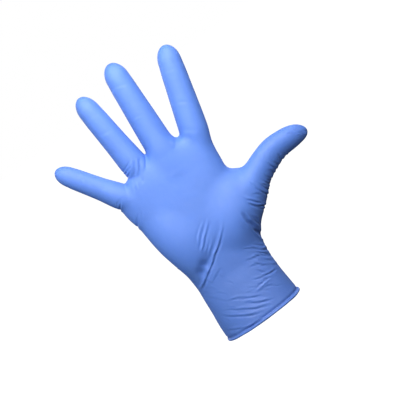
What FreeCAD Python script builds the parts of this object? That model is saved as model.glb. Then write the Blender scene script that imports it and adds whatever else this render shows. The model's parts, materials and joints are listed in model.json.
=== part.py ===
import FreeCAD, Part
import math
import os
from FreeCAD import Placement, Rotation, Vector

# One disposable nitrile glove in its worn shape, with the hand left out: a thin film, open at the
# cuff, with a rolled bead round the opening. All sizes are in millimetres, all angles in degrees.
#
# The origin is the centre of the cuff opening. +Z runs along the forearm towards the fingers,
# +X towards the thumb and -Y out of the palm.
#
# The film is one piece in reality. Here it is divided into zones where it bends: each zone between
# two joints is a rigid piece, and the film that folds at a joint is a separate fold piece.

doc = FreeCAD.newDocument("glove")
sheet = doc.addObject("Spreadsheet::Sheet", "sizes")

FINGERS = ("index", "middle", "ring", "little")

SIZES = {
    "film": 0.55,               # wall of the film
    "slit": 0.3,                # space left between neighbouring zones
    "bead": 2.4,                # thickness of the rolled bead
    # sleeve: elliptical, narrowing to the wrist
    "cuff_width": 70.6,
    "cuff_depth": 52.0,
    "wrist_width": 65.4,
    "wrist_depth": 43.0,
    "wrist_height": 45.0,       # height of the wrist's bending axis
    "wrist_flexion": 45.0,
    "side_height": 16.0,        # height of the wrist's sideways axis
    "side_flexion": 15.0,
    # palm
    "palm_bottom": 54.6,
    "palm_width": 86.0,         # across the palm above the thumb web
    "palm_depth": 30.0,
    "knuckle_height": 135.5,    # height of the knuckle axis on the centre line
    "knuckle_tilt": 5.0,        # the knuckle line rises towards the index finger
    "knuckle_flexion": 40.0,
    "knuckle_offset": -2.0,     # the axis lies this far in front of the middle of the film's depth
    # fingers, each from its web to its tip
    "depth_ratio": 0.87,        # depth of a finger as a part of its width
    "tip_round": 15.0,          # length of a fingertip's rounded end
    "base_flexion": 50.0,
    "middle_flexion": 80.0,
    "tip_flexion": 35.0,
    "index_tip_across": 61.7,
    "index_tip_height": 226.9,
    "index_tilt": 16.4,
    "index_length": 71.5,
    "index_tip_width": 19.9,
    "index_base_width": 25.0,
    "middle_tip_across": 16.6,
    "middle_tip_height": 240.2,
    "middle_tilt": 3.9,
    "middle_length": 77.0,
    "middle_tip_width": 20.0,
    "middle_base_width": 25.0,
    "ring_tip_across": -19.1,
    "ring_tip_height": 232.3,
    "ring_tilt": -4.2,
    "ring_length": 70.0,
    "ring_tip_width": 18.7,
    "ring_base_width": 23.0,
    "little_tip_across": -69.2,
    "little_tip_height": 195.1,
    "little_tilt": -33.1,
    "little_length": 56.5,
    "little_tip_width": 17.2,
    "little_base_width": 21.6,
    # distance of a finger's joints from its web, as a part of its free length
    "base_joint": 0.09,
    "middle_joint": 0.335,
    "tip_joint": 0.67,
    "finger_root": 10.0,        # how far a finger's own tapering form runs into the palm
    "root_draw": 0.9,           # the buried roots are drawn together by this ratio
    # the bending axes lie this far in front of the middle of a finger's depth
    "base_offset": -3.5,
    "middle_offset": -3.6,
    "tip_offset": -2.0,
    # thumb: directions are counted from +Z towards +X
    "thumb_root_across": 51.8,
    "thumb_root_height": 90.0,
    "thumb_root_tilt": 5.33,        # the thumb's root swings about a line leaning this much from Z
    "thumb_root_flexion": 45.0,
    "thumb_root_offset": -2.0,
    "thumb_base_across": 70.0,
    "thumb_base_height": 100.0,
    "thumb_base_direction": 66.0,
    "thumb_base_flexion": 40.0,
    "thumb_knuckle_across": 88.0,   # middle of the thumb's outer knuckle
    "thumb_knuckle_height": 107.3,
    "thumb_joint_across": 90.0,     # its bending axis, a little towards the side that closes
    "thumb_joint_height": 108.5,
    "thumb_joint_direction": 84.0,
    "thumb_joint_flexion": 80.0,
    "thumb_round": 22.0,            # length of the thumb's rounded end
    "thumb_drop": 3.0,              # its end drops this far towards the wrist
}


def fill_sheet():
    """Writes the sizes as plain numbers, one row and one alias each."""
    for row, (name, value) in enumerate(SIZES.items(), start=1):
        sheet.set("A%d" % row, name)
        sheet.set("B%d" % row, str(value))
        sheet.setAlias("B%d" % row, name)
    doc.recompute()


def size(name):
    return float(getattr(sheet, name))


fill_sheet()
WALL = size("film")
SLIT = size("slit")
REACH = 400.0                   # longer than the whole glove: size of the blocks that divide the film
SPARE_ANGLE = 1.0               # half of the angle a fold is cut wider than its turn
SIDE_ROOM = 1.6                 # a finger is cut free this far beside its web
CAP_ANGLES = (65, 45, 28, 15, 6)    # sections of a rounded end, in degrees from its tip


# ---------------------------------------------------------------- sections and lofts

def section(centre, across, left, right, back, front, power=2.0, count=24):
    """A closed smooth curve in the plane of 'across' and Y, with its own reach on each of four sides."""
    points = []
    for step in range(count):
        angle = 2.0 * math.pi * step / count
        c = math.cos(angle)
        s = math.sin(angle)
        u = math.copysign(abs(c) ** (2.0 / power), c) * (right if c > 0 else left)
        v = math.copysign(abs(s) ** (2.0 / power), s) * (back if s > 0 else front)
        points.append(centre + across * u + Vector(0, v, 0))
    curve = Part.BSplineCurve()
    curve.interpolate(Points=points, PeriodicFlag=True)
    return Part.Wire([curve.toShape()])


def loft(sections):
    return Part.makeLoft(sections, True, False)


def fuse(solids):
    whole = solids[0]
    for solid in solids[1:]:
        whole = whole.fuse(solid)
    return whole


# ---------------------------------------------------------------- solids whose difference is the film

def finger_frame(name):
    """Origin at the finger's web, direction towards its tip, and the direction across it."""
    tilt = math.radians(size(name + "_tilt"))
    along = Vector(math.sin(tilt), 0, math.cos(tilt))
    across = Vector(math.cos(tilt), 0, -math.sin(tilt))
    tip = Vector(size(name + "_tip_across"), 0, size(name + "_tip_height"))
    return tip - along * size(name + "_length"), along, across


def finger_solid(name, inset):
    """A tapering finger with a rounded tip, which starts inside the palm, below its web."""
    origin, along, across = finger_frame(name)
    length = size(name + "_length") - inset
    cap = size("tip_round") - inset
    tip_half = size(name + "_tip_width") / 2.0
    base_half = size(name + "_base_width") / 2.0
    ratio = size("depth_ratio")
    sections = []
    for station in (-size("finger_root"), 0.0, length / 3.0, length - cap):
        half = tip_half + (base_half - tip_half) * (length - cap - station) / (length - cap)
        centre = origin + along * station
        if station < 0.0:
            centre.x *= size("root_draw")
        sections.append(section(centre, across, half - inset, half - inset,
                                half * ratio - inset, half * ratio - inset))
    for angle in CAP_ANGLES:
        scale = math.sin(math.radians(angle))
        rise = math.cos(math.radians(angle))
        centre = origin + along * (length - cap + cap * rise)
        wide = (tip_half - inset) * scale
        deep = (tip_half * ratio - inset) * scale
        sections.append(section(centre, across, wide, wide, deep, deep))
    return loft(sections)


def palm_solid(inset):
    """Palm and back of the hand without the thumb, from the wrist up to the finger webs."""
    wide = size("palm_width") / 2.0
    deep = size("palm_depth") / 2.0
    wrist_wide = size("wrist_width") / 2.0
    wrist_deep = size("wrist_depth") / 2.0
    bottom = size("palm_bottom")
    # height, reach towards the little finger, reach towards the thumb, back, front, squareness
    rows = (
        (bottom - 8.0, wrist_wide - 0.3, wrist_wide - 0.6, wrist_deep - 0.2, wrist_deep - 0.2, 2.0),
        (bottom - 1.0, wrist_wide - 0.5, wrist_wide + 0.9, wrist_deep - 1.0, wrist_deep - 1.0, 2.0),
        (bottom + 10.0, wrist_wide - 0.2, wrist_wide + 5.5, deep + 2.8, deep + 3.6, 2.2),
        (bottom + 30.0, wide - 6.5, wide - 2.5, deep, deep + 2.0, 2.4),
        (bottom + 52.0, wide - 2.6, wide + 1.5, deep - 0.8, deep + 0.5, 2.5),
        (bottom + 74.0, wide + 0.8, wide + 3.4, deep - 1.6, deep - 0.8, 2.5),
        (bottom + 88.0, wide + 3.4, wide + 5.6, deep - 2.6, deep - 2.0, 2.45),
        (bottom + 98.0, wide - 1.5, wide + 6.6, deep - 4.8, deep - 4.2, 2.4),
        (bottom + 104.5 - inset, wide - 14.0, wide + 1.5, deep - 9.0, deep - 8.4, 2.3),
    )
    sections = []
    for height, left, right, back, front, power in rows:
        sections.append(section(Vector(0, 0, height), Vector(1, 0, 0), left - inset, right - inset,
                                back - inset, front - inset, power))
    return loft(sections)


def thumb_solid(inset):
    """The thumb from inside the ball of the palm to its tip, bent back at its last joint."""
    base = Vector(size("thumb_base_across"), 0, size("thumb_base_height"))
    joint = Vector(size("thumb_knuckle_across"), 0, size("thumb_knuckle_height"))
    # centre, direction from +Z in degrees, half width, half depth
    rows = (
        (Vector(20, -2, 70), 42, 16.0, 13.2),
        (Vector(36, -2, 79), 50, 16.2, 13.6),
        (Vector(49, -1, 88.5), 57, 16.4, 13.0),
        (base + Vector(-7.5, 0, -2.4), 63, 14.2, 12.2),
        (base + Vector(4.0, 0, 2.3), 69, 12.0, 11.2),
        (joint + Vector(-3.3, 0, -2.1), 80, 11.4, 10.2),
        (joint + Vector(7.0, 0, -0.6), 90, 10.8, 9.6),
    )
    sections = []
    for centre, degrees, wide, deep in rows:
        turn = math.radians(degrees)
        across = Vector(math.cos(turn), 0, -math.sin(turn))
        wide -= inset
        deep -= inset
        sections.append(section(centre, across, wide, wide, deep, deep, 2.1))
    centre, degrees, wide, deep = rows[-1]
    cap = size("thumb_round") - inset
    for angle in CAP_ANGLES:
        scale = math.sin(math.radians(angle))
        rise = math.cos(math.radians(angle))
        place = centre + Vector(cap * rise, 0, -size("thumb_drop") * rise * rise)
        sections.append(section(place, Vector(0, 0, -1), (wide - inset) * scale, (wide - inset) * scale,
                                (deep - inset) * scale, (deep - inset) * scale, 2.1))
    return loft(sections)


def glove_solid(inset):
    solids = [palm_solid(inset), thumb_solid(inset)]
    for name in FINGERS:
        solids.append(finger_solid(name, inset))
    return fuse(solids)


# ---------------------------------------------------------------- where the film bends

class Hinge:
    """A bending line: the film beyond it turns about 'axis' by up to 'degrees'.

    'along' points to the far side. The turn closes the film on the side towards 'inward', so the
    film is cut there by a wedge as wide as the turn; on the other side the cut is only a slit.
    """

    def __init__(self, point, along, axis, degrees):
        self.point = point
        self.along = along
        self.axis = axis
        self.inward = axis.cross(along)
        self.half = math.radians(degrees / 2.0 + SPARE_ANGLE)

    def place(self, inward, along):
        return self.point + self.inward * inward + self.along * along

    def prism(self, outline, reach):
        corners = [self.place(inward, along) - self.axis * reach for inward, along in outline]
        face = Part.Face(Part.makePolygon(corners + corners[:1]))
        return face.extrude(self.axis * (2.0 * reach))

    def block(self, face, side, reach):
        """All that lies to one side of the wedge's far (+1) or near (-1) face."""
        edge = face * SLIT / 2.0
        wedge = face * (SLIT / 2.0 + REACH * math.tan(self.half))
        outline = ((-REACH, edge), (0.0, edge), (REACH, wedge),
                   (REACH, side * 2.0 * REACH), (-REACH, side * 2.0 * REACH))
        return self.prism(outline, reach)

    def beyond(self, reach=REACH):
        return self.block(1.0, 1.0, reach)

    def before(self, reach=REACH):
        return self.block(-1.0, -1.0, reach)

    def not_before(self, reach=REACH):
        """The wedge, its slits and all that lies beyond them."""
        return self.block(-1.0, 1.0, reach)

    def fold(self, reach=REACH):
        """The wedge itself, one slit narrower on each face."""
        back_off = SLIT / math.cos(self.half) - SLIT / 2.0
        apex = back_off / math.tan(self.half)
        wide = REACH * math.tan(self.half) - back_off
        return self.prism(((apex, 0.0), (REACH, wide), (REACH, -wide)), reach)


def knuckle_hinge():
    tilt = math.radians(size("knuckle_tilt"))
    return Hinge(Vector(0, size("knuckle_offset"), size("knuckle_height")),
                 Vector(-math.sin(tilt), 0, math.cos(tilt)),
                 Vector(math.cos(tilt), 0, math.sin(tilt)),
                 size("knuckle_flexion"))


def finger_hinge(name, joint):
    """'joint' is base, middle or tip, counted from the web."""
    origin, along, across = finger_frame(name)
    distance = size(name + "_length") * size(joint + "_joint")
    point = origin + along * distance + Vector(0, size(joint + "_offset"), 0)
    return Hinge(point, along, across, size(joint + "_flexion"))


def thumb_root_hinge():
    tilt = math.radians(size("thumb_root_tilt"))
    point = Vector(size("thumb_root_across"), size("thumb_root_offset"), size("thumb_root_height"))
    return Hinge(point, Vector(math.cos(tilt), 0, -math.sin(tilt)),
                 Vector(-math.sin(tilt), 0, -math.cos(tilt)), size("thumb_root_flexion"))


def thumb_hinge(joint):
    """The base and the joint hinge bend the thumb in the plane of the palm."""
    turn = math.radians(size("thumb_" + joint + "_direction"))
    point = Vector(size("thumb_" + joint + "_across"), 0, size("thumb_" + joint + "_height"))
    return Hinge(point, Vector(math.sin(turn), 0, math.cos(turn)), Vector(0, -1, 0),
                 size("thumb_" + joint + "_flexion"))


# ---------------------------------------------------------------- pieces

pieces = []


def add_piece(name, shape, point):
    """A film zone as an object of its own, with its own origin at 'point'."""
    solids = sorted(shape.Solids, key=lambda solid: solid.Volume)
    shift = FreeCAD.Matrix()
    shift.move(point * -1.0)
    body = solids[-1].transformed(shift, copy=True)
    piece = doc.addObject("Part::Feature", name)
    piece.Label = name
    piece.Shape = body
    piece.Placement = Placement(point, Rotation())
    pieces.append(piece)


def half_axis(which, height):
    """Expression for half the sleeve's outer width or depth at a height above the opening."""
    return ("(sizes.cuff_%s - (sizes.cuff_%s - sizes.wrist_%s) * (%s) / sizes.wrist_height) / 2"
            % (which, which, which, height))


def ellipse(name, height, inset):
    """An elliptical section of the sleeve with both half axes driven from the sheet."""
    curve = doc.addObject("Part::Ellipse", name)
    curve.setExpression("MajorRadius", "%s - %s" % (half_axis("width", height), inset))
    curve.setExpression("MinorRadius", "%s - %s" % (half_axis("depth", height), inset))
    curve.setExpression("Placement.Base.z", height)
    return curve


def add_ring(name, low, high):
    """One zone of the sleeve between two heights: an outer loft with an inner loft cut out."""
    tools = []
    for part, inset in (("outside", "0"), ("inside", "sizes.film")):
        shell = doc.addObject("Part::Loft", name + "_" + part)
        shell.Sections = [ellipse(name + "_" + part + "_low", low, inset),
                          ellipse(name + "_" + part + "_high", high, inset)]
        shell.Solid = True
        shell.Ruled = True
        tools.append(shell)
    ring = doc.addObject("Part::Cut", name)
    ring.Base = tools[0]
    ring.Tool = tools[1]
    ring.Label = name
    pieces.append(ring)


def add_bead():
    """The rolled edge: a round cord that follows the ellipse of the opening."""
    path = doc.addObject("Part::Ellipse", "bead_path")
    path.setExpression("MajorRadius", "sizes.cuff_width / 2")
    path.setExpression("MinorRadius", "sizes.cuff_depth / 2")
    path.setExpression("Placement.Base.z", "sizes.bead / 2")
    profile = doc.addObject("Part::Circle", "bead_profile")
    profile.setExpression("Radius", "sizes.bead / 2")
    profile.Placement = Placement(Vector(0, 0, 0), Rotation(Vector(1, 0, 0), 90))
    profile.setExpression("Placement.Base.x", "sizes.cuff_width / 2")
    profile.setExpression("Placement.Base.z", "sizes.bead / 2")
    bead = doc.addObject("Part::Sweep", "cuff_bead")
    bead.Sections = [profile]
    bead.Spine = (path, ["Edge1"])
    bead.Solid = True
    bead.Frenet = True
    bead.Label = "cuff_bead"
    pieces.append(bead)


def add_sleeve():
    side = "sizes.side_height"
    wrist = "sizes.wrist_height"
    # half heights of the two folds: the sleeve's half width or depth times the tangent of half the turn
    side_half = "(sizes.wrist_width / 2 * tan(sizes.side_flexion / 2 * 1deg) + 2 * sizes.slit)"
    wrist_half = "(sizes.wrist_depth / 2 * tan(sizes.wrist_flexion / 2 * 1deg) + 2 * sizes.slit)"
    add_ring("cuff_sleeve", "sizes.bead + sizes.slit", side + " - " + side_half)
    add_ring("wrist_side_fold", side + " - " + side_half + " + sizes.slit",
             side + " + " + side_half + " - sizes.slit")
    add_ring("wrist_band", side + " + " + side_half, wrist + " - " + wrist_half)
    add_ring("wrist_fold", wrist + " - " + wrist_half + " + sizes.slit",
             wrist + " + " + wrist_half + " - sizes.slit")


def add_hand(film):
    """Palm, knuckle and thumb zones cut from the film of the whole hand."""
    knuckle = knuckle_hinge()
    root = thumb_root_hinge()
    base = thumb_hinge("base")
    joint = thumb_hinge("joint")
    lower = film.common(knuckle.before())
    add_piece("palm_film", lower.common(root.before()), Vector(0, 0, size("palm_bottom")))
    add_piece("knuckle_fold", film.common(knuckle.fold()), knuckle.point)
    add_piece("thumb_root_fold", lower.common(root.fold()), root.point)
    add_piece("thumb_root", lower.common(root.beyond()).common(base.before()), root.point)
    add_piece("thumb_base_fold", lower.common(base.fold()).common(root.beyond()), base.point)
    add_piece("thumb_middle", lower.common(base.beyond()).common(joint.before()), base.point)
    add_piece("thumb_joint_fold", lower.common(joint.fold()).common(root.beyond()), joint.point)
    add_piece("thumb_tip", lower.common(joint.beyond()), joint.point)
    upper = film.common(knuckle.beyond())
    for name in FINGERS:
        reach = size(name + "_base_width") / 2.0 + SIDE_ROOM
        upper = upper.cut(finger_hinge(name, "base").not_before(reach))
    add_piece("knuckle_film", upper, knuckle.point)


def add_finger(name):
    film = finger_solid(name, 0.0).cut(finger_solid(name, WALL))
    base = finger_hinge(name, "base")
    middle = finger_hinge(name, "middle")
    tip = finger_hinge(name, "tip")
    add_piece(name + "_base_fold", film.common(base.fold()), base.point)
    add_piece(name + "_root", film.common(base.beyond()).common(middle.before()), base.point)
    add_piece(name + "_middle_fold", film.common(middle.fold()), middle.point)
    add_piece(name + "_middle", film.common(middle.beyond()).common(tip.before()), middle.point)
    add_piece(name + "_tip_fold", film.common(tip.fold()), tip.point)
    add_piece(name + "_tip", film.common(tip.beyond()), tip.point)


add_bead()
add_sleeve()
floor = Part.makeBox(REACH, REACH, REACH, Vector(-REACH / 2.0, -REACH / 2.0, size("palm_bottom")))
add_hand(glove_solid(0.0).cut(glove_solid(WALL)).common(floor))
for finger in FINGERS:
    add_finger(finger)

doc.recompute()
for item in doc.Objects:
    if "Invalid" in item.State or "Error" in item.State:
        raise RuntimeError("object failed: " + item.Label)

os.makedirs("parts", exist_ok=True)
for piece in pieces:
    if piece.Shape.isNull() or not piece.Shape.isValid():
        raise RuntimeError("bad shape: " + piece.Label)
    piece.Shape.exportStep("parts/" + piece.Label + ".step")
    box = piece.Shape.optimalBoundingBox()
    print("%-20s volume %8.1f  x %6.1f %6.1f  y %6.1f %6.1f  z %6.1f %6.1f"
          % (piece.Label, piece.Shape.Volume, box.XMin, box.XMax, box.YMin, box.YMax, box.ZMin, box.ZMax))
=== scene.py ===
import json
import math

import bmesh
import bpy
import numpy as np
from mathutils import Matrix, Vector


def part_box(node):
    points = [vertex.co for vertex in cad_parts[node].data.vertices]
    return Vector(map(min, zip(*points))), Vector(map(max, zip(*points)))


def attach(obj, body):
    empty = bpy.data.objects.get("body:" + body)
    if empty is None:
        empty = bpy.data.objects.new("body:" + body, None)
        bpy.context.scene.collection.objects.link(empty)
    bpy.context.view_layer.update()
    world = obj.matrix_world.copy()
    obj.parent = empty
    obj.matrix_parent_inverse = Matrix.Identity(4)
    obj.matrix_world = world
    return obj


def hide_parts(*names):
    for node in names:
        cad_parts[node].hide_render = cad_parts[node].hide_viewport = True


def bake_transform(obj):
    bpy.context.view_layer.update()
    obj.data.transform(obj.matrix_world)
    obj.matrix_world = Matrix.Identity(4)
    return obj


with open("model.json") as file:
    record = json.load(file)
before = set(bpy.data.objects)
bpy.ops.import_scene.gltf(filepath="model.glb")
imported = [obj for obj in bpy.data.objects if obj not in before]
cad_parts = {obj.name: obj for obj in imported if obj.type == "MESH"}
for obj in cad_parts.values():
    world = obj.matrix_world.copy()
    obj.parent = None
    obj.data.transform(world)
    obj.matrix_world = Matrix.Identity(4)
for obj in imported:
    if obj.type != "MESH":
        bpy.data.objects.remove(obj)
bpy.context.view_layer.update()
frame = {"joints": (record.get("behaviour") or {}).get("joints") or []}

import openvdb
from mathutils import Matrix, Vector

# A disposable nitrile glove in its worn shape. Lengths are worked out in millimetres and written in
# metres. +Z runs from the cuff opening to the fingers, +X to the thumb, and -Y out of the palm.
MM = 0.001
STEP = 0.7       # spacing of the film's mesh
FILM = 0.42                         # thickness of the drawn film
CUFF_END = 0.9                      # the film ends here, inside the rolled bead
SAG = 1.7                           # the cuff hangs this much lower at the wrist's two sides
CUFF_HALF_WIDTH = 35.6
SAG_TOP = 24.0                      # at this height the sag has run out
SEED = 7
rng = np.random.default_rng(SEED)

JOINTS = {joint["name"]: joint for joint in frame["joints"]}


def pivot(name):
    return np.array(JOINTS[name]["pos_m"], float) / MM


def axis(name):
    return np.array(JOINTS[name]["axis"], float)


# ------------------------------------------------------------------ form of the hand
# A field is a function of x, y and z: about the distance to a surface, and negative inside it.

FAR = 20.0                          # value of the field where no form is near
SHARP = 0.5                         # softness of a join that should stay sharp


def curve(x, knots, values):
    """Smooth interpolation without overshoot through a few stations."""
    knots = np.asarray(knots, float)
    values = np.asarray(values, float)
    run = np.diff(knots)
    rise = np.diff(values) / run
    slope = np.zeros(len(knots))
    total = rise[:-1] + rise[1:]
    same = rise[:-1] * rise[1:] > 0
    slope[1:-1] = np.where(same, 2 * rise[:-1] * rise[1:] / np.where(total == 0, 1, total), 0)
    slope[0] = rise[0]
    slope[-1] = rise[-1]
    x = np.clip(x, knots[0], knots[-1])
    i = np.clip(np.searchsorted(knots, x, side="right") - 1, 0, len(run) - 1)
    t = (x - knots[i]) / run[i]
    start = (1 + 2 * t) * (1 - t) ** 2 * values[i] + t * (1 - t) ** 2 * run[i] * slope[i]
    return start + t * t * (3 - 2 * t) * values[i + 1] + t * t * (t - 1) * run[i] * slope[i + 1]


def smooth_min(a, b, k):
    h = np.clip(0.5 + 0.5 * (b - a) / k, 0, 1)
    return b * (1 - h) + a * h - k * h * (1 - h)


def radial(r, k):
    """Distance along the ray from the middle to a surface where k is 1."""
    return r * (1 - 1 / np.maximum(k, 1e-6))


# tip across and up, lean in degrees, length from the web to the tip, half widths at the web, the two
# joints and the tip, length of the rounded end, softness of the join, reach down into the palm
FINGERS = {
    "index": dict(tip=(62.4, 225.9), tilt=16.4, length=71.0, halves=(11.9, 11.3, 10.3, 9.7),
                  round=14.5, web=5.0, root=36.0),
    "middle": dict(tip=(17.5, 239.5), tilt=3.9, length=76.8, halves=(12.2, 11.6, 10.4, 9.8),
                   round=14.5, web=8.5, root=22.0),
    "ring": dict(tip=(-18.35, 231.5), tilt=-4.2, length=69.8, halves=(11.3, 10.4, 9.6, 9.1),
                 round=14.5, web=2.0, root=20.0),
    "little": dict(tip=(-68.4, 195.2), tilt=-33.1, length=56.5, halves=(10.6, 9.3, 8.6, 8.2),
                   round=13.5, web=3.2, root=26.0),
}
FINGER_SINK = 0.9                   # the fingers lie this far in front of the X-Z plane
NECK = 12                           # this far below the web its half width is NECK_LESS less
NECK_LESS = 0.9
ROOT_LESS = 2.5                     # and at its root in the palm this much
WAIST_LESS = 0.1                    # between its joints this much less than the mean of the two
ROOT_ROUND = 10.0                   # length of the rounded root of a finger or the thumb
FINGER_ROOM = 20                    # a finger's box reaches this far past its middle line


def finger_lines(name):
    """Origin at the web, direction to the tip and direction across, in the X-Z plane."""
    f = FINGERS[name]
    t = math.radians(f["tilt"])
    along = np.array((math.sin(t), 0.0, math.cos(t)))
    across = np.array((math.cos(t), 0.0, -math.sin(t)))
    tip = np.array((f["tip"][0], 0.0, f["tip"][1]))
    return tip - along * f["length"], along, across


def finger_field(name, x, y, z):
    f = FINGERS[name]
    origin, along, across = finger_lines(name)
    s = (x - origin[0]) * along[0] + (z - origin[2]) * along[2]
    v = (x - origin[0]) * across[0] + (z - origin[2]) * across[2]
    h0, h1, h2, h3 = f["halves"]
    length = f["length"]
    end = length - f["round"]
    wide = curve(s, (-f["root"], -NECK, 0, 0.3 * length, 0.52 * length, 0.68 * length, end),
                 (h0 - ROOT_LESS, h0 - NECK_LESS, h0, h1, (h1 + h2) / 2 - WAIST_LESS, h2, h3))
    deep = wide * curve(s, (-f["root"], 0, 0.35 * length, end, length), (0.88, 0.94, 0.9, 0.86, 0.82))
    w = y + FINGER_SINK
    over = np.maximum(s - end, 0)
    under = np.maximum(-f["root"] - s, 0)
    k = np.sqrt((v / wide) ** 2 + (w / deep) ** 2 + (over / f["round"]) ** 2 + (under / ROOT_ROUND) ** 2)
    return radial(np.sqrt(v * v + w * w + over * over + under * under) + 1e-6, k)


# middle line across and up, and at each of its points the half width, the half depth, how far it lies
# in front of the X-Z plane, and how steeply its lower side falls back
THUMB_PATH = ((22, 68), (38, 79.6), (50.9, 89.0), (62.8, 96.8), (74.5, 101.9), (84.8, 105.2), (95, 105.9),
              (106, 104.9), (116.9, 101.8))
THUMB_HALVES = (13.0, 15.6, 14.7, 12.7, 12.1, 11.4, 10.5, 9.9, 9.8)
THUMB_DEPTHS = (12.0, 13.0, 13.0, 12.0, 11.2, 10.4, 9.8, 9.0, 8.0)
THUMB_SINK = (3.0, 3.0, 2.0, 1.0, 0.5, 0.5, 0.5, 0.3, 0.0)
THUMB_LEAN = (0.22, 0.22, 0.22, 0.21, 0.21, 0.21, 0.22, 0.22, 0.18)
THUMB_ROUND = 19.0                  # length of the rounded end
SPLINE_PARTS = 6                    # straight parts of a line from point to point


def spline(points, parts=SPLINE_PARTS):
    """Catmull-Rom line through the points."""
    p = np.array(points, float)
    ends = np.vstack([2 * p[0] - p[1], p, 2 * p[-1] - p[-2]])
    line = []
    for i in range(1, len(ends) - 2):
        a, b, c, d = ends[i - 1:i + 3]
        for j in range(parts):
            t = j / parts
            line.append(0.5 * (2 * b + (c - a) * t + (2 * a - 5 * b + 4 * c - d) * t * t
                               + (3 * b - a - 3 * c + d) * t ** 3))
    line.append(p[-1])
    return np.array(line)


def follow(path, x, z):
    """Lengths at the path's points, and for each place how far along the path it lies and how far
    beside it, + to the right."""
    legs = np.diff(path, axis=0)
    lengths = np.linalg.norm(legs, axis=1)
    start = np.concatenate([[0], np.cumsum(lengths)])
    shape = np.broadcast_shapes(x.shape, z.shape)
    best = np.full(shape, 1e9)
    s = np.zeros(shape)
    v = np.zeros(shape)
    for i, leg in enumerate(legs):
        d = leg / lengths[i]
        px = x - path[i][0]
        pz = z - path[i][1]
        t = px * d[0] + pz * d[1]
        t = np.clip(t, -1e9 if i == 0 else 0.0, 1e9 if i == len(legs) - 1 else lengths[i])
        side = px * d[1] - pz * d[0]
        off = (px - t * d[0]) ** 2 + (pz - t * d[1]) ** 2
        closer = off < best
        best = np.where(closer, off, best)
        s = np.where(closer, start[i] + t, s)
        v = np.where(closer, np.sign(side) * np.sqrt(off), v)
    return start, s, v


def thumb_field(x, y, z):
    start, s, v = follow(spline(THUMB_PATH), x, z)
    stations = start[::SPLINE_PARTS]
    wide = curve(s, stations, THUMB_HALVES)
    deep = curve(s, stations, THUMB_DEPTHS)
    w = y + curve(s, stations, THUMB_SINK) - curve(s, stations, THUMB_LEAN) * v
    over = np.maximum(s - (start[-1] - THUMB_ROUND), 0)
    under = np.maximum(-s, 0)
    k = np.sqrt((v / wide) ** 2 + (w / deep) ** 2 + (over / THUMB_ROUND) ** 2 + (under / ROOT_ROUND) ** 2)
    return radial(np.sqrt(v * v + w * w + over * over + under * under) + 1e-6, k)


# sections of the sleeve and palm: height, reach to the little finger's side, to the thumb's side, to
# the back and to the front, and squareness (2 is an ellipse)
PALM = np.array((
    (-10, 36.2, 35.6, 26.0, 26.2, 2.0),
    (0, 35.9, 35.3, 26.0, 26.0, 2.0),
    (12, 35.4, 34.4, 24.4, 23.8, 2.0),
    (24.4, 34.0, 33.6, 23.0, 21.4, 2.0),
    (36.6, 33.0, 33.5, 21.8, 19.0, 2.0),
    (48.8, 32.0, 35.0, 20.5, 17.1, 2.1),
    (61, 32.5, 39.0, 18.5, 16.9, 2.2),
    (79, 34.5, 40.2, 16.0, 17.8, 2.6),
    (91.6, 37.7, 42.2, 15.0, 17.3, 2.8),
    (104, 40.0, 43.8, 14.3, 16.2, 2.7),
    (116, 40.8, 45.4, 13.6, 15.0, 2.7),
    (128, 43.3, 46.6, 12.8, 14.0, 2.6),
    (134, 43.9, 46.4, 12.2, 13.5, 2.6),
    (140, 42.6, 45.6, 11.6, 13.1, 2.6),
    (146, 38.6, 44.4, 10.8, 12.7, 2.6),
    (152, 30.6, 43.6, 10.0, 12.2, 2.5),
    (158, 21.6, 38.5, 8.8, 11.4, 2.4),
)).T
PALM_TOP = 155.0
PALM_DOME = 5.0                     # the palm's top stands this much higher at its middle
PALM_CORNER = 2.2                   # squareness of that dome
PALM_FADE = 0.65                    # how softly the palm's faces run out into the fingers
PALM_EASE = 6.0                     # and how softly they leave the palm


def palm_field(x, y, z):
    height = np.minimum(z, PALM_TOP)
    left, right, back, front, power = [curve(height, PALM[0], row) for row in PALM[1:]]
    a = np.where(x > 0, right, left)
    b = np.where(y > 0, back, front)
    k = ((np.abs(x) / a) ** power + (np.abs(y) / b) ** power) ** (1 / power)
    side = radial(np.sqrt(x * x + y * y) + 1e-6, k)
    edge = np.minimum((np.abs(y) / b) ** PALM_CORNER, 1)
    dome = PALM_DOME * np.maximum(1 - (np.abs(x) / a) ** PALM_CORNER - edge, 0)
    over = (z - PALM_TOP - dome) * (1 - PALM_FADE * edge)
    return -smooth_min(-side, -over, SHARP + PALM_EASE * edge)


def pad_field(x, y, z, centre, radii, lean):
    """A soft ellipsoid, leaning in the X-Z plane."""
    t = math.radians(lean)
    dx = x - centre[0]
    dz = z - centre[2]
    w = y - centre[1]
    v = dx * math.cos(t) - dz * math.sin(t)
    s = dx * math.sin(t) + dz * math.cos(t)
    k = np.sqrt((v / radii[0]) ** 2 + (w / radii[1]) ** 2 + (s / radii[2]) ** 2)
    return radial(np.sqrt(v * v + w * w + s * s) + 1e-6, k)


# centre, radii, lean in degrees, softness of the join
PADS = (
    ((43.6, 0, 100.4), (10.6, 9.0, 12.3), 42, 10.0),    # web between thumb and palm
    ((26, -6.5, 84), (16, 11.2, 27), 30, 11.0),         # the thumb's ball
    ((-20, -7, 88), (14, 10.7, 30), -4, 11.0),          # the outer half of the heel
)


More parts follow.
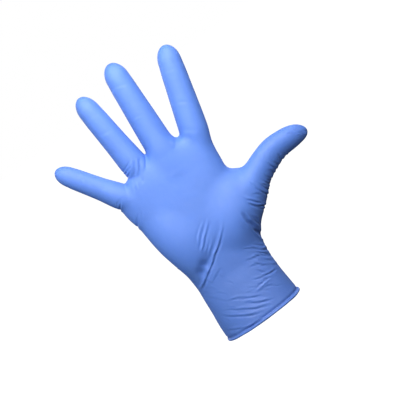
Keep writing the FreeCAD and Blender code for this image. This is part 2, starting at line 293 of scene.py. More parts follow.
class Field:
    """Values on a regular grid; forms are joined smoothly inside the box they need."""

    def __init__(self, low, high, step):
        self.low = np.array(low, float)
        self.step = step
        self.count = np.ceil((np.array(high) - self.low) / step).astype(int) + 1
        self.values = np.full(self.count, FAR, np.float32)

    def join(self, form, low, high, softness):
        a = np.clip(np.floor((np.array(low) - self.low) / self.step).astype(int), 0, self.count)
        b = np.clip(np.ceil((np.array(high) - self.low) / self.step).astype(int), 0, self.count)
        x, y, z = [self.low[i] + self.step * np.arange(a[i], b[i]) for i in range(3)]
        part = form(x[:, None, None], y[None, :, None], z[None, None, :])
        region = self.values[a[0]:b[0], a[1]:b[1], a[2]:b[2]]
        region[...] = smooth_min(region, part, softness)

    def mesh(self):
        grid = openvdb.FloatGrid(FAR)
        grid.copyFromArray(self.values)
        points, quads = grid.convertToQuads(0.0)
        return points * self.step + self.low, quads


def hand_form():
    """The smooth outer surface, before folds: each form is joined inside a box that holds it."""
    field = Field((-78, -34, -6), (124, 34, 246), STEP)
    field.join(palm_field, (-60, -34, -6), (60, 34, 190), SHARP)
    field.join(thumb_field, (0, -26, 40), (124, 26, 140), 9.0)
    for centre, radii, lean, softness in PADS:
        reach = max(radii) + softness
        field.join(lambda x, y, z: pad_field(x, y, z, centre, radii, lean),
                   np.array(centre) - reach, np.array(centre) + reach, softness)
    for name, f in FINGERS.items():
        origin, along, across = finger_lines(name)
        tip = origin + along * f["length"]
        root = origin - along * (f["root"] + ROOT_ROUND)
        low = np.minimum(tip, root) - FINGER_ROOM
        high = np.maximum(tip, root) + FINGER_ROOM
        field.join(lambda x, y, z: finger_field(name, x, y, z), low, high, f["web"])
    return field.mesh()


def make_mesh(name, points, faces):
    mesh = bpy.data.meshes.new(name)
    mesh.from_pydata([], [], [])
    mesh.vertices.add(len(points))
    mesh.vertices.foreach_set("co", np.asarray(points, np.float32).ravel())
    faces = np.asarray(faces, np.int32)
    mesh.loops.add(faces.size)
    mesh.loops.foreach_set("vertex_index", faces.ravel())
    mesh.polygons.add(len(faces))
    mesh.polygons.foreach_set("loop_start", np.arange(len(faces), dtype=np.int32) * faces.shape[1])
    mesh.update(calc_edges=True)
    mesh.validate()
    return mesh


def read_vectors(items, key):
    """One vector for each vertex or face."""
    values = np.empty(len(items) * 3, np.float32)
    items.foreach_get(key, values)
    return values.reshape(-1, 3).astype(float)


def add_piece(name, mesh):
    mesh.polygons.foreach_set("use_smooth", np.ones(len(mesh.polygons), bool))
    mesh.update()
    piece = bpy.data.objects.new(name, mesh)
    bpy.context.collection.objects.link(piece)
    return piece


# ------------------------------------------------------------------ folds in the film

# folds are laid down as seen from a little above the palm's normal
ELEVATION = math.radians(8.0)
VIEW_SLOPE = math.tan(ELEVATION)
FRONT = -1
BACK = 1


def ease(t):
    """From 0 to 1, with a level start and end."""
    t = np.clip(t, 0, 1)
    return t * t * (3 - 2 * t)


def crease(width, depth, lip=0.0):
    """A sharp groove with a raised lip; the lip's sign says on which side of the line it stands."""
    side = math.copysign(1.9 * width, lip)
    return ((0.0, width, -depth), (side, 1.25 * width, abs(lip)))


def ridge(width, height, hollow=0.0):
    """A raised line with a softer hollow beside it; the hollow's sign gives the side."""
    side = math.copysign(2.2 * width, hollow)
    return ((0.0, width, height), (side, 1.5 * width, -abs(hollow)))


# line across and up in the X-Z plane, profile (offset, width, height), fades at start and end
FOLDS = (
    # heel of the palm
    (((20, 86), (15.2, 80.3), (9.5, 74.4), (2.7, 69.2), (-2.7, 65.4), (-9.1, 60.8), (-14.6, 57),
      (-19.8, 53.9), (-24.6, 51.1), (-30.5, 46.9)),
     ((0.0, 0.85, 0.85), (-1.8, 0.85, -0.8), (2.6, 1.7, -0.4)), 0.45, 0.08),
    (((10, 92.3), (6.1, 88.4), (1.1, 83.5), (-4.9, 78.5), (-12.5, 71)),
     ((0.0, 0.85, 0.65), (-1.9, 0.85, -0.4), (1.9, 0.85, -0.4)), 0.5, 0.3),
    (((6, 93.5), (1.4, 89.4), (-4.5, 84.5), (-10.5, 78.5)),
     ((0.0, 0.8, 0.35), (1.7, 0.9, -0.2)), 0.5, 0.4),
    (((4, 77.2), (-2.3, 71.3), (-7.6, 66.7), (-11, 63.5)),
     ((0.0, 0.8, 0.35), (1.6, 0.8, -0.2)), 0.5, 0.4),
    (((-3, 53), (-6, 51.6), (-17.3, 46.7), (-22, 44.5)), crease(0.95, 0.3, 0.15), 0.5, 0.5),
    (((-4, 69), (-13, 63), (-22, 57), (-28, 52)), ((0.0, 4.5, -2.1),), 0.5, 0.4),
    # below the thumb
    (((31.5, 82), (31.8, 75.3), (32.05, 68.2), (32.5, 62.4), (33.4, 57.2), (34.3, 53.6), (35, 48)),
     ((0.0, 0.85, 0.95), (-2.9, 1.9, -1.6)), 0.4, 0.1),
    (((36.5, 79), (37, 72), (37.8, 66), (39, 60)), ridge(0.75, 0.5, -0.5), 0.5, 0.1),
    (((28.5, 76), (28.6, 69), (29.2, 63)), crease(0.9, 0.25, 0.25), 0.5, 0.5),
    # across the thumb's lower side
    (((40, 88), (43.5, 80.5), (47.5, 75.5), (54, 71), (60, 68)), crease(0.85, 1.0, -0.65), 0.45, 0.0),
    (((40, 92), (44, 84), (48, 78.5), (52, 75)), crease(0.8, 0.4, -0.45), 0.5, 0.3),
    (((44, 79), (48, 73), (53, 67)), crease(0.8, 0.45, -0.4), 0.4, 0.0),
    (((53, 94.5), (54.5, 88.5), (56.5, 83.5), (60, 78), (64, 73)),
     crease(0.75, 0.65, -0.45), 0.45, 0.0),
    (((52, 98), (54, 92.5), (55.5, 88.5), (58, 84)), crease(0.7, 0.4, -0.3), 0.5, 0.4),
    (((58, 93), (60, 87), (63, 81), (67, 76)), crease(0.7, 0.45, -0.35), 0.5, 0.0),
    (((62.5, 94), (64, 88), (67.5, 83), (71, 78)), crease(0.7, 0.55, -0.35), 0.5, 0.0),
    (((67, 96), (68, 90.5), (72.5, 84.5), (75, 80)), crease(0.65, 0.5, -0.35), 0.5, 0.0),
    (((70.5, 97), (73, 92), (76.5, 86), (79, 82)), crease(0.6, 0.45, -0.3), 0.5, 0.0),
    (((74, 102), (76, 95.5), (78.5, 89.5), (81, 84)), crease(0.65, 0.75, -0.4), 0.45, 0.0),
    (((78.5, 101), (80.5, 95), (83, 89), (85, 84)), crease(0.6, 0.45, -0.3), 0.5, 0.0),
    (((85.5, 102), (86, 96.5), (87.5, 92), (89, 87)), crease(0.75, 0.85, -0.45), 0.45, 0.0),
    (((90, 100), (90.5, 96), (92, 91)), crease(0.7, 0.4, -0.3), 0.5, 0.0),
    # along the thumb's end
    (((101, 114), (105, 111.5), (109, 108), (114.5, 101.5)), ridge(0.8, 0.45, -0.3), 0.45, 0.2),
    (((102, 110.5), (107.5, 107), (111.5, 103.5), (115, 98)), ridge(0.75, 0.4, -0.25), 0.45, 0.2),
    (((105, 106), (109, 103), (112.5, 99.5)), ridge(0.7, 0.3, -0.2), 0.5, 0.3),
    # thumb side of the wrist
    (((23.5, 49.5), (28, 45.5), (34, 40.5)), crease(0.75, 0.55, -0.35), 0.45, 0.1),
    (((23, 47.5), (27.5, 42.5), (33, 37)), crease(0.75, 0.85, -0.45), 0.45, 0.1),
    (((12.5, 45.5), (17.5, 43.5), (22.5, 40)), crease(0.8, 0.3, -0.25), 0.5, 0.5),
    (((12, 38.5), (17.5, 37.5), (24, 33)), crease(0.8, 0.4, -0.3), 0.5, 0.5),
    (((18, 34.5), (23, 33), (28, 29.5)), crease(0.75, 0.4, -0.3), 0.5, 0.4),
    (((15.5, 27.5), (21.5, 25.5), (26, 24.5), (31, 24)), crease(0.7, 0.75, -0.5), 0.45, 0.35),
    (((4, 21.5), (10, 22), (16, 22.5), (24, 23)), crease(0.72, 0.36, 0.56), 0.4, 0.4),
    (((8, 30), (13, 27.5), (20, 25)), crease(0.72, 0.32, -0.24), 0.5, 0.4),
    (((7, 18.5), (15, 18), (23, 14)), crease(0.80, 0.32, -0.24), 0.5, 0.4),
    # round the cuff
    (((-12, 24), (-3.5, 20), (3, 16.5), (10, 13)), crease(0.84, 0.44, -0.28), 0.45, 0.4),
    (((-9, 18), (-1, 13.5), (6, 9.5), (15, 6.5)), crease(0.84, 0.56, -0.40), 0.45, 0.35),
    (((-22, 21.5), (-13.5, 15.5), (-5.5, 10.5), (2.5, 6.5), (11.5, 3)),
     crease(0.88, 0.48, -0.40), 0.45, 0.4),
    (((-31, 21.5), (-21, 14), (-12.5, 8.5), (-3.5, 4.5), (4, 2)), crease(0.88, 0.44, -0.32), 0.4, 0.4),
    (((-24, 4), (-16, 1.5), (-8, 0), (2, -1.0)), ridge(0.88, 0.56, 0.48), 0.45, 0.3),
    (((-33, 8), (-27, 5), (-19, 2)), crease(0.80, 0.32, -0.24), 0.4, 0.4),
    # little finger's side
    (((-48, 135.5), (-42, 141.5), (-38, 146.5)), crease(0.75, 1.0, 0.4), 0.0, 0.5),
    (((-46.5, 141), (-41.5, 144.5), (-38, 147)), crease(0.7, 0.35, 0.25), 0.3, 0.5),
    (((-45, 115), (-41, 120), (-37.5, 124.5), (-33, 129)), crease(0.75, 1.0, 0.45), 0.0, 0.5),
    (((-39, 119), (-35.5, 123), (-32.5, 126), (-30, 128.5)), crease(0.7, 0.35, 0.25), 0.4, 0.5),
    (((-49, 84), (-43, 86), (-37, 89)), crease(0.9, 0.5, 0.3), 0.0, 0.6),
    (((-43, 69), (-38, 72), (-33, 76)), crease(0.9, 0.4, 0.3), 0.0, 0.6),
    # below the webs of the fingers
    (((-1.5, 163), (-5.5, 156.5), (-10, 150)), crease(0.9, 0.4, 0.3), 0.1, 0.6),
    (((-6, 164), (-11, 157), (-17, 149)), crease(1.1, 0.5, 0.3), 0.2, 0.6),
    (((-10, 166), (-14, 159), (-21.5, 151)), crease(1.3, 0.55, 0.3), 0.3, 0.5),
    (((-26, 162), (-18.5, 164), (-13, 166.5)), crease(0.75, 0.5, 0.3), 0.0, 0.5),
    (((-27, 159.5), (-19.5, 161), (-15, 162.5)), crease(0.75, 0.5, 0.3), 0.0, 0.5),
    (((-28, 155.5), (-20.5, 158), (-16, 160.5)), crease(0.75, 0.45, 0.3), 0.0, 0.5),
    (((27, 163), (24, 157), (20, 151)), crease(1.1, 0.25, 0.2), 0.1, 0.6),
    # soft bends inside the fingers
    (((3, 219.5), (8.5, 220.5), (14.5, 219.5), (24, 215)), crease(1.15, 0.14, 0.09), 0.3, 0.3),
    (((1, 190), (7, 191.5), (13.5, 190.5), (20, 187)), crease(1.15, 0.14, 0.09), 0.4, 0.4),
    (((2, 187), (8, 188.5), (15, 187)), crease(1.03, 0.1, 0.07), 0.4, 0.4),
    (((-24, 197.5), (-16.5, 195.5), (-10, 193)), crease(1.15, 0.12, 0.09), 0.4, 0.4),
    (((-25, 213), (-18, 212.5), (-11, 210.5)), crease(1.15, 0.1, 0.07), 0.4, 0.4),
    (((40, 183.5), (49.5, 178), (56, 170.5)), crease(1.26, 0.14, 0.09), 0.4, 0.3),
    (((47, 208), (55, 206), (62, 201.5)), crease(1.15, 0.1, 0.07), 0.4, 0.4),
    (((32, 166), (37.5, 159), (45, 153)), crease(1.61, 0.15, 0.11), 0.4, 0.3),
    (((-59, 172), (-54, 176), (-50, 178.5)), crease(1.03, 0.12, 0.09), 0.3, 0.4),
    (((-51, 155), (-47, 159.5), (-42, 162)), crease(1.03, 0.12, 0.09), 0.3, 0.4),
)


# small creases of the film: middle, half reach, lean in degrees, number, length, height, and the face
# that they lie on
CRINKLES = (
    ((26, 40), (8, 13), -40, 18, 10.0, 0.46, FRONT),        # thumb's side of the wrist
    ((0, 15), (24, 10), -30, 16, 14.0, 0.24, FRONT),        # cuff
    ((55, 81), (13, 6), -55, 14, 8.5, 0.36, FRONT),         # root of the thumb, lower side
    ((79, 89), (12, 4), -68, 12, 7.0, 0.32, FRONT),         # thumb, lower side
    ((108, 106), (7, 5), -35, 7, 7.0, 0.22, FRONT),         # thumb's end
    ((-18, 38), (14, 14), -50, 8, 13.0, 0.14, FRONT),       # outer side of the wrist
    ((-24, 151), (9, 8), 62, 8, 8.0, 0.2, FRONT),           # below ring and little finger
    ((38, 64), (4, 9), -75, 8, 9.0, 0.36, FRONT),           # under the ball of the thumb
    ((0, 38), (28, 20), 4, 26, 17.0, 0.4, BACK),            # back of the wrist
    ((0, 12), (28, 8), -3, 10, 18.0, 0.25, BACK),           # back of the cuff
    ((5, 95), (30, 32), 80, 12, 22.0, 0.16, BACK),          # back of the hand
    ((0, 160), (46, 8), 4, 16, 9.0, 0.26, BACK),            # over the knuckles
    ((62, 92), (14, 10), -50, 10, 9.0, 0.26, BACK),         # back of the thumb's root
)


# how much one crease differs from the next
CREASE_TURN = 8                     # degrees
CREASE_LENGTHS = (0.6, 1.3)
CREASE_BOWS = (-0.15, 0.25)
CREASE_WIDTHS = (0.55, 0.95)
CREASE_HEIGHTS = (0.4, 1.2)
CREASE_LIP = 0.8                    # its lip stands this share of its depth
CREASE_FADE = 0.5                   # it fades over half its length at either end


def crinkles():
    """Short random creases, each a curved line of three points with its own profile and face."""
    made = []
    for middle, reach, lean, count, length, height, face in CRINKLES:
        for _ in range(count):
            x, z = np.array(middle) + rng.uniform(-1, 1, 2) * reach
            t = math.radians(lean + rng.normal(0, CREASE_TURN))
            half = 0.5 * length * rng.uniform(*CREASE_LENGTHS)
            along = np.array((math.cos(t), math.sin(t)))
            bow = np.array((-along[1], along[0])) * half * rng.uniform(*CREASE_BOWS)
            centre = np.array((x, z))
            line = (centre - along * half, centre + bow, centre + along * half)
            width = rng.uniform(*CREASE_WIDTHS)
            high = height * rng.uniform(*CREASE_HEIGHTS)
            made.append((line, crease(width, high, -CREASE_LIP * high), CREASE_FADE, CREASE_FADE, face))
    return made


GROOVE = 0.7                        # the film is drawn in just above the rolled bead
GROOVE_HEIGHT = 3.2
GROOVE_WIDTH = 0.9
FOLD_PARTS = 4                      # straight parts of a fold's line from point to point
SHORTEST_FADE = 0.4
SWELL = 0.15                        # a fold's height waves by this share
SWELL_RATE = 0.7
WANDER = 0.18                       # and its line by this much to either side
WANDER_RATE = 0.4


def fold_height(points, normals):
    """How far the film stands out or in at each point because of its folds."""
    total = -GROOVE * np.exp(-((points[:, 2] - GROOVE_HEIGHT) / GROOVE_WIDTH) ** 2)
    x = points[:, 0]
    z = points[:, 2] + points[:, 1] * VIEW_SLOPE
    faces = {FRONT: ease((0.3 - normals[:, 1]) / 0.6), BACK: ease((normals[:, 1] - 0.1) / 0.5)}
    folds = [fold + (FRONT,) for fold in FOLDS] + crinkles()
    for path, profile, fade_in, fade_out, face in folds:
        front = faces[face]
        line = spline(path, FOLD_PARTS)
        reach = 4.0 * max(width for _, width, _ in profile) + 2.0
        near = np.all((np.column_stack([x, z]) > line.min(axis=0) - reach)
                      & (np.column_stack([x, z]) < line.max(axis=0) + reach), axis=1) & (front > 0)
        start, s, v = follow(line, x[near], z[near])
        length = start[-1]
        inside = (s >= 0) & (s <= length)
        rise = (ease(s / max(fade_in * length, SHORTEST_FADE))
                * ease((length - s) / max(fade_out * length, SHORTEST_FADE)))
        phase = rng.uniform(0, 2 * math.pi, 2)
        rise = rise * (1 + SWELL * np.sin(s * SWELL_RATE + phase[0])) * inside
        v = v + WANDER * np.sin(s * WANDER_RATE + phase[1])
        height = sum(h * np.exp(-((v - offset) / width) ** 2) for offset, width, h in profile)
        total[near] += height * rise * front[near]
    return total


# ------------------------------------------------------------------ where the film bends

class Zone:
    """Two parallel planes round a joint, between which the film turns from one body to the next. Its
    apply only bakes a piece's transform into its mesh.
    """

    def __init__(self, joint, along, half):
        self.joint = JOINTS[joint]
        self.along = np.asarray(along, float)
        self.middle = float(pivot(joint) @ self.along)
        self.low = self.middle - half
        self.high = self.middle + half

    def apply(self, piece):
        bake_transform(piece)


UP = np.array((0.0, 0.0, 1.0))
OUT_OF_BACK = (0.0, 1.0, 0.0)
knuckle_along = np.cross(axis("knuckle_bend"), OUT_OF_BACK)
thumb_along = np.cross(axis("thumb_swing"), OUT_OF_BACK)
# for each piece the joint, the direction along the limb, and half the length of the strip that turns
ZONES = {
    "sleeve": Zone("wrist_side", UP, 10.0),
    "wrist": Zone("wrist_bend", UP, 15.0),
    "palm": Zone("thumb_swing", thumb_along, 8.0),
    "knuckles": Zone("knuckle_bend", knuckle_along, 11.0),
    "thumb_root": Zone("thumb_base_bend", thumb_along, 8.2),
    "thumb_tip": Zone("thumb_joint_bend", thumb_along, 10.0),
}


# piece of a finger, its joint, and half the length of the strip that turns, as a share of the finger's
FINGER_BENDS = (("_root", "base", 0.086), ("_middle", "middle", 0.118), ("_tip", "tip", 0.1))


def finger_zone(name, joint, share):
    return Zone("%s_%s_bend" % (name, joint), finger_lines(name)[1], share * FINGERS[name]["length"])


# ------------------------------------------------------------------ pieces of film

SLEEVE_SEAM = 28.0                  # heights of the two seams across the sleeve
WRIST_SEAM = 61.0
KNUCKLE_SEAM = 11.6                 # this far below the knuckle joint
THUMB_ROOT_SEAM = 8.4               # this far past the thumb's first joint
THUMB_TIP_SEAM = 8.7                # and past its second
FINGER_SEAM = 0.2                   # this far past the web
SEAM_REACH = 2.5                    # mesh steps to either side in which faces are cut
WELD = 1e-3                         # vertices this near to a cut are laid on it

# rough bounds that keep one limb's seams off the others
FINGER_SPARE = 1.6
FINGERS_ABOVE = 130
KNUCKLES_ABOVE = 112
THUMB_BEYOND = 40
THUMB_BELOW = 124
WRIST_BELOW = 70


def seams():
    """Name, point and direction of each plane that parts one piece from the next."""
    planes = [
        ("sleeve", np.array((0.0, 0.0, SLEEVE_SEAM)), UP),
        ("wrist", np.array((0.0, 0.0, WRIST_SEAM)), UP),
        ("knuckles", pivot("knuckle_bend") - knuckle_along * KNUCKLE_SEAM, knuckle_along),
        ("thumb_root", pivot("thumb_swing") + thumb_along * THUMB_ROOT_SEAM, thumb_along),
        ("thumb_tip", pivot("thumb_base_bend") + thumb_along * THUMB_TIP_SEAM, thumb_along),
    ]
    for name in FINGERS:
        origin, along, across = finger_lines(name)
        planes.append((name + "_root", origin + along * FINGER_SEAM, along))
        for part, lower, upper in (("_middle", "base", "middle"), ("_tip", "middle", "tip")):
            between = 0.5 * (pivot("%s_%s_bend" % (name, lower)) + pivot("%s_%s_bend" % (name, upper)))
            planes.append((name + part, between, along))
    return planes


def height_over(points, plane):
    return (points - plane[1]) @ plane[2]


def region(points, name):
    """Whether a point may belong to the sleeve, the palm's upper part, a finger or the thumb."""
    limb = name.split("_")[0]
    if limb in FINGERS:
        origin, along, across = finger_lines(limb)
        side = np.abs((points - origin) @ across)
        return (side < FINGERS[limb]["halves"][0] + FINGER_SPARE) & (points[:, 2] > FINGERS_ABOVE)
    if limb == "thumb":
        return (points[:, 0] > THUMB_BEYOND) & (points[:, 2] < THUMB_BELOW)
    if limb == "knuckles":
        return points[:, 2] > KNUCKLES_ABOVE
    return points[:, 2] < WRIST_BELOW


def bisect(work, plane):
    """Lays a line of vertices on one seam plane, only where that seam runs."""
    faces = list(work.faces)
    centres = np.array([f.calc_center_median() for f in faces])
    near = (np.abs(height_over(centres, plane)) < SEAM_REACH * STEP) & region(centres, plane[0])
    chosen = [faces[i] for i in np.nonzero(near)[0]]
    edges = {e for f in chosen for e in f.edges}
    verts = {v for f in chosen for v in f.verts}
    bmesh.ops.bisect_plane(work, geom=list(verts) + list(edges) + chosen, dist=WELD,
                           plane_co=Vector(plane[1]), plane_no=Vector(plane[2]))


def film_mesh():
    """The whole outer surface of the glove in millimetres, cut open at the cuff and at every seam."""
    points, quads = hand_form()
    mesh = make_mesh("film", points, quads)
    points = read_vectors(mesh.vertices, "co")
    normals = read_vectors(mesh.vertices, "normal")
    points = points + normals * fold_height(points, normals)[:, None]
    mesh.vertices.foreach_set("co", points.astype(np.float32).ravel())
    mesh.update()
    work = bmesh.new()
    work.from_mesh(mesh)
    everything = work.verts[:] + work.edges[:] + work.faces[:]
    bmesh.ops.bisect_plane(work, geom=everything, dist=WELD, plane_co=Vector((0, 0, CUFF_END)),
                           plane_no=Vector(UP), clear_inner=True)
    for plane in seams():
        bisect(work, plane)
    for vert in work.verts:
        if vert.co.z < SAG_TOP:
            share = 1 - float(ease((vert.co.z - CUFF_END) / (SAG_TOP - CUFF_END)))
            vert.co.z -= SAG * share * (vert.co.x / CUFF_HALF_WIDTH) ** 2
    work.to_mesh(mesh)
    work.free()
    mesh.update()
    return mesh


def label_faces(mesh):
    """The name of the piece that each face belongs to."""
    centres = read_vectors(mesh.polygons, "center")
    labels = np.full(len(centres), "palm", dtype=object)
    planes = {plane[0]: plane for plane in seams()}
    labels[height_over(centres, planes["wrist"]) < 0] = "wrist"
    labels[height_over(centres, planes["sleeve"]) < 0] = "sleeve"
    beyond = height_over(centres, planes["knuckles"]) > 0
    labels[beyond] = "knuckles"
    for name in ("thumb_root", "thumb_tip"):
        labels[(height_over(centres, planes[name]) > 0) & region(centres, name)] = name
    for name in FINGERS:
        for part in ("_root", "_middle", "_tip"):
            inside = (height_over(centres, planes[name + part]) > 0) & region(centres, name) & beyond
            labels[inside] = name + part
    return labels


def film_piece(name, whole, chosen, points, normals):
    """One closed piece of film: outside, inside and the cut edges between them."""
    outer = [tuple(whole.polygons[i].vertices) for i in chosen]
    used = np.unique(np.concatenate([np.array(face) for face in outer]))
    index = {int(v): i for i, v in enumerate(used)}
    count = len(used)
    outside = points[used]
    inside = outside - normals[used] * FILM
    faces = [[index[v] for v in face] for face in outer]
    corners = [normals[v] for face in outer for v in face]
    open_edges = {}
    for face in faces:
        for a, b in zip(face, face[1:] + face[:1]):
            if (b, a) in open_edges:
                del open_edges[(b, a)]
            else:
                open_edges[(a, b)] = True
    faces += [[v + count for v in reversed(face)] for face in faces]
    for face in outer:
        corners.extend(-normals[v] for v in reversed(face))
    rim = [[b, a, a + count, b + count] for a, b in open_edges]
    faces += rim
    verts = np.concatenate([outside, inside])
    for quad in rim:
        p = verts[quad]
        flat = np.cross(p[2] - p[0], p[3] - p[1])
        flat = flat / max(np.linalg.norm(flat), 1e-9)
        corners.extend([flat] * 4)
    mesh = bpy.data.meshes.new(name)
    mesh.from_pydata((verts * MM).tolist(), [], faces)
    piece = add_piece(name, mesh)
    mesh.normals_split_custom_set(np.asarray(corners, np.float32).tolist())
    return piece


# ------------------------------------------------------------------ the rolled bead

BEAD_SIZE = 0.93                    # its mean thickness, as a share of the CAD bead's
BEAD_SWELL = 0.05                   # it is thicker and thinner by this share, in slow waves
BEAD_FINE_SWELL = 0.03              # and by this share in quick ones
BEAD_SWAY = 0.12                    # it sways in and out by this much
BEAD_RIPPLE = 0.03                  # and its own surface ripples by this share


def bead_piece():
    """The cuff's edge rolled up into a cord, slightly uneven, round the opening."""
    low, high = [np.array(corner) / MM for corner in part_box("cuff_bead")]
    thick = (high[2] - low[2]) / 2
    half_x = (high[0] - low[0]) / 2 - thick
    half_y = (high[1] - low[1]) / 2 - thick
    around = 240
    sides = 20
    phases = rng.uniform(0, 2 * math.pi, 4)
    verts = []
    for i in range(around):
        t = 2 * math.pi * i / around
        height = low[2] + thick - SAG * math.cos(t) ** 2
        middle = np.array((half_x * math.cos(t), half_y * math.sin(t), height))
        out = np.array((math.cos(t) / half_x, math.sin(t) / half_y, 0.0))
        out = out / np.linalg.norm(out)
        size = thick * (BEAD_SIZE + BEAD_SWELL * math.sin(5 * t + phases[0])
                        + BEAD_FINE_SWELL * math.sin(13 * t + phases[1]))
        middle = middle + out * BEAD_SWAY * math.sin(9 * t + phases[2])
        for j in range(sides):
            u = 2 * math.pi * j / sides
            ripple = 1 + BEAD_RIPPLE * math.sin(3 * u + 7 * t + phases[3])
            verts.append(middle + (out * math.cos(u) + UP * math.sin(u)) * size * ripple)
    faces = []
    for i in range(around):
        for j in range(sides):
            a = i * sides + j
            b = i * sides + (j + 1) % sides
            c = ((i + 1) % around) * sides + (j + 1) % sides
            d = ((i + 1) % around) * sides + j
            faces.append((a, d, c, b))
    mesh = bpy.data.meshes.new("rolled_bead")
    mesh.from_pydata((np.array(verts) * MM).tolist(), [], faces)
    return add_piece("rolled_bead", mesh)


# ------------------------------------------------------------------ material

def node(tree, kind, inputs=None, **values):
    """A shader node with its settings and the values of its inputs."""
    made = tree.nodes.new(kind)
    for key, value in values.items():
        setattr(made, key, value)
    for key, value in (inputs or {}).items():
        made.inputs[key].default_value = value
    return made


DEEP_BLUE = (0.048, 0.139, 0.480, 1)
LIGHT_BLUE = (0.054, 0.152, 0.525, 1)
# Painted shade: the film is drawn darker at the wrist and cuff, where less light falls. Its blue is
# scaled to the shade share below the low height and left whole above the top height. It was chosen for
# how they look in this light: it isn't a known property of the film.
PAINTED_SHADE_TOP = 0.088
PAINTED_SHADE_LOW = 0.045
PAINTED_SHADE_SHARE = 0.86
ROUGHNESS = (0.64, 0.76)            # least and most, mixed by the ripple


def nitrile():
    """Satin blue nitrile: faint mottling, a fine grain, a soft sheen, and painted shade towards the cuff.
    """
    material = bpy.data.materials.new("nitrile")
    material.use_nodes = True
    tree = material.node_tree
    shader = tree.nodes["Principled BSDF"]
    place = node(tree, "ShaderNodeTexCoord")
    mottle = node(tree, "ShaderNodeTexNoise", {"Scale": 38.0, "Detail": 3.0})
    tint = node(tree, "ShaderNodeValToRGB")
    dark, light = tint.color_ramp.elements
    dark.position = 0.3
    dark.color = DEEP_BLUE
    light.position = 0.7
    light.color = LIGHT_BLUE
    height = node(tree, "ShaderNodeSeparateXYZ")
    # painted shade: the blue is scaled down with height towards the wrist and cuff
    painted_shade_range = node(tree, "ShaderNodeMapRange",
                 {"From Min": PAINTED_SHADE_LOW, "From Max": PAINTED_SHADE_TOP, "To Min": PAINTED_SHADE_SHARE},
                 interpolation_type="SMOOTHSTEP")
    shade = node(tree, "ShaderNodeVectorMath", operation="SCALE")
    grain = node(tree, "ShaderNodeTexNoise", {"Scale": 1400.0, "Detail": 2.0})
    ripple = node(tree, "ShaderNodeTexNoise", {"Scale": 230.0, "Detail": 2.0})
    gloss = node(tree, "ShaderNodeMapRange", {"To Min": ROUGHNESS[0], "To Max": ROUGHNESS[1]})
    bump = node(tree, "ShaderNodeBump", {"Strength": 0.12, "Distance": 0.0002})
    wave = node(tree, "ShaderNodeBump", {"Strength": 0.18, "Distance": 0.0006})
    link = tree.links.new
    for texture in (mottle, grain, ripple):
        link(place.outputs["Object"], texture.inputs["Vector"])
    link(mottle.outputs["Fac"], tint.inputs["Fac"])
    link(place.outputs["Object"], height.inputs["Vector"])
    link(height.outputs["Z"], painted_shade_range.inputs["Value"])
    link(tint.outputs["Color"], shade.inputs[0])
    link(painted_shade_range.outputs["Result"], shade.inputs["Scale"])
    link(shade.outputs["Vector"], shader.inputs["Base Color"])
    link(ripple.outputs["Fac"], gloss.inputs["Value"])
    link(gloss.outputs["Result"], shader.inputs["Roughness"])
    link(grain.outputs["Fac"], bump.inputs["Height"])
    link(ripple.outputs["Fac"], wave.inputs["Height"])
    link(wave.outputs["Normal"], bump.inputs["Normal"])
    link(bump.outputs["Normal"], shader.inputs["Normal"])
    shader.inputs["IOR"].default_value = 1.5
    shader.inputs["Specular IOR Level"].default_value = 1.0
    shader.inputs["Subsurface Weight"].default_value = 0.12
    shader.inputs["Subsurface Radius"].default_value = (0.3, 0.6, 1.0)
    shader.inputs["Subsurface Scale"].default_value = 0.002
    return material


# ------------------------------------------------------------------ build the glove

whole = film_mesh()
whole_points = read_vectors(whole.vertices, "co")
whole_normals = read_vectors(whole.vertices, "normal")
labels = label_faces(whole)
skin = nitrile()

# piece of film: the CAD nodes that it stands for
STANDS_FOR = {
    "sleeve": ("cuff_sleeve", "wrist_side_fold", "wrist_band"),
    "wrist": ("wrist_fold",),
    "palm": ("palm_film", "thumb_root_fold"),
    "knuckles": ("knuckle_fold", "knuckle_film"),
    "thumb_root": ("thumb_root", "thumb_base_fold"),
    "thumb_tip": ("thumb_middle", "thumb_joint_fold", "thumb_tip"),
}
for finger in FINGERS:
    for part, joint, share in FINGER_BENDS:
        STANDS_FOR[finger + part] = ("%s_%s_fold" % (finger, joint), finger + part)
        ZONES[finger + part] = finger_zone(finger, joint, share)

for name, nodes in STANDS_FOR.items():
    chosen = np.nonzero(labels == name)[0]
    piece = film_piece("film_" + name, whole, chosen, whole_points, whole_normals)
    piece.data.materials.append(skin)
    ZONES[name].apply(piece)
    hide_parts(*nodes)
bpy.data.meshes.remove(whole)

bead = bead_piece()
bead.data.materials.append(skin)
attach(bead, "cuff")
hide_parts("cuff_bead")

# ------------------------------------------------------------------ stage, light and camera

def floor_material():
    """Pale paper with a little light of its own, so that it fades into the white of the studio."""
    material = bpy.data.materials.new("pale_floor")
    material.use_nodes = True
    shader = material.node_tree.nodes["Principled BSDF"]
    shader.inputs["Base Color"].default_value = (0.8, 0.8, 0.8, 1)
    shader.inputs["Roughness"].default_value = 0.9
    shader.inputs["Emission Color"].default_value = (1, 1, 1, 1)
    shader.inputs["Emission Strength"].default_value = 1.0
    return material


FLOOR_DROP = 0.30                   # the floor lies this far below the cuff
FLOOR_HALF = 12.0
corners = ((-1, -1), (1, -1), (1, 1), (-1, 1))
floor_mesh = bpy.data.meshes.new("floor")
floor_mesh.from_pydata([(x * FLOOR_HALF, y * FLOOR_HALF, -FLOOR_DROP) for x, y in corners],
                       [], [(0, 1, 2, 3)])
floor_mesh.materials.append(floor_material())
floor = bpy.data.objects.new("floor", floor_mesh)
floor.visible_diffuse = False
floor.visible_glossy = False
bpy.context.collection.objects.link(floor)

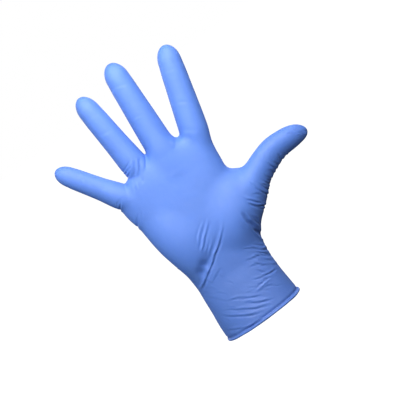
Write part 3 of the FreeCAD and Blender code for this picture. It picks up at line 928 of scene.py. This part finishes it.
AMBIENT = 0.12                      # the studio's even light; seen directly it is plain white
world = bpy.data.worlds.new("studio")
bpy.context.scene.world = world
world.use_nodes = True
background = world.node_tree.nodes["Background"]
background.inputs["Color"].default_value = (1.0, 1.0, 1.0, 1)
seen = world.node_tree.nodes.new("ShaderNodeLightPath")
strength = world.node_tree.nodes.new("ShaderNodeMapRange")
strength.inputs["To Min"].default_value = AMBIENT
strength.inputs["To Max"].default_value = 1.0
world.node_tree.links.new(seen.outputs["Is Camera Ray"], strength.inputs["Value"])
world.node_tree.links.new(strength.outputs["Result"], background.inputs["Strength"])

AIM = Vector((0.0127, 0.0, 0.1072))  # what the camera looks at, from ELEVATION above the palm's normal
DISTANCE = 1.10
FRAME_WIDTH = 0.3256                # width of the picture at the glove
UP_IN_PICTURE = Vector((0.584, 0.0, 0.8118))  # the glove leans over to the left in the picture


def area_light(name, place, size, power, colour=(1, 1, 1)):
    """A square panel that faces the glove and isn't seen by the camera."""
    data = bpy.data.lights.new(name, "AREA")
    data.shape = "RECTANGLE"
    data.size = size
    data.size_y = size
    data.energy = power
    data.color = colour
    light = bpy.data.objects.new(name, data)
    light.location = place
    light.visible_camera = False
    direction = AIM - Vector(place)
    light.rotation_euler = direction.to_track_quat("-Z", "Y").to_euler()
    bpy.context.collection.objects.link(light)


# Place, side and power: soft panels above the fingers, weak ones at the sides, and two behind for the
# back. The weakest one, low_left, is tinted blue and lights the side away from the key.
area_light("key", (0.010, -0.270, 0.350), 0.26, 1.80)
area_light("key_right", (0.204, -0.321, 0.470), 0.35, 2.10)
area_light("left", (-0.437, -0.300, 0.397), 0.35, 0.94)
area_light("right", (0.463, -0.300, 0.367), 0.35, 0.54)
area_light("low_left", (-0.286, -0.154, -0.190), 0.25, 0.45, (0.5, 0.8, 1.0))
area_light("behind_left", (-0.45, 0.60, 0.45), 0.6, 3.6)
area_light("behind_right", (0.45, 0.60, 0.45), 0.6, 3.0)

camera_data = bpy.data.cameras.new("camera")
camera_data.sensor_width = 36.0
camera_data.lens = camera_data.sensor_width * DISTANCE / FRAME_WIDTH
camera = bpy.data.objects.new("camera", camera_data)
bpy.context.collection.objects.link(camera)
back = Vector((0.0, -math.cos(ELEVATION), math.sin(ELEVATION)))
right = UP_IN_PICTURE.cross(back).normalized()
top = back.cross(right)
turn = Matrix((right, top, back)).transposed().to_4x4()
camera.matrix_world = Matrix.Translation(AIM + back * DISTANCE) @ turn
bpy.context.scene.camera = camera
bpy.context.scene.view_settings.view_transform = "Standard"
